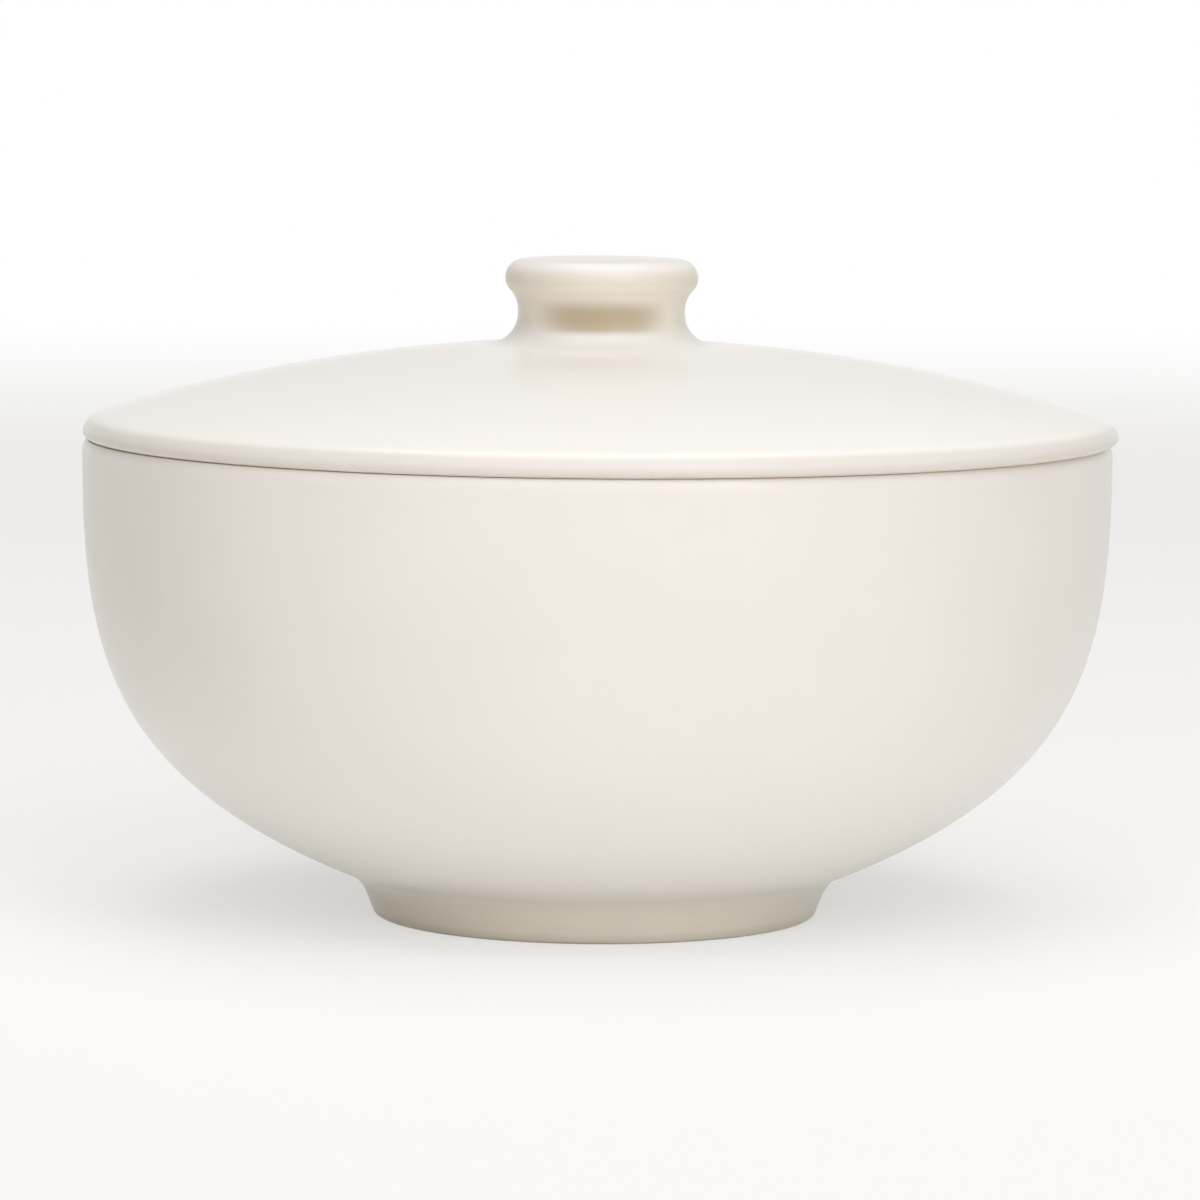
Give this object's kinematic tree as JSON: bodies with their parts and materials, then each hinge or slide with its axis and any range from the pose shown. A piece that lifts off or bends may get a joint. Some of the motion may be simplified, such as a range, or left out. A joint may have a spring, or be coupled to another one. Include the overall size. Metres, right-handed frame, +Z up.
{
  "type": "lidded soup bowl",
  "caption": "Round glazed soup bowl on a low foot ring, with a loose domed lid whose flange drops inside the rim and whose flared knob lifts it off.",
  "frame": {"origin": "on the table, under the middle of the bowl's foot ring", "axes": "+Z up along the bowl's axis of revolution; -Y faces the camera of the picture and +X is its right"},
  "size_m": [0.2111, 0.211, 0.1347],
  "materials": {
    "glaze": "smooth glossy warm-white glaze over fired stoneware"
  },
  "bodies": {
    "bowl": {"bowl": "glaze"},
    "lid": {"lid": "glaze"}
  },
  "joints": [
    {"name": "lid_lift", "type": "slide", "parent": "bowl", "child": "lid", "axis": [0, 0, 1], "range_m": [0, 0.15]}
  ]
}
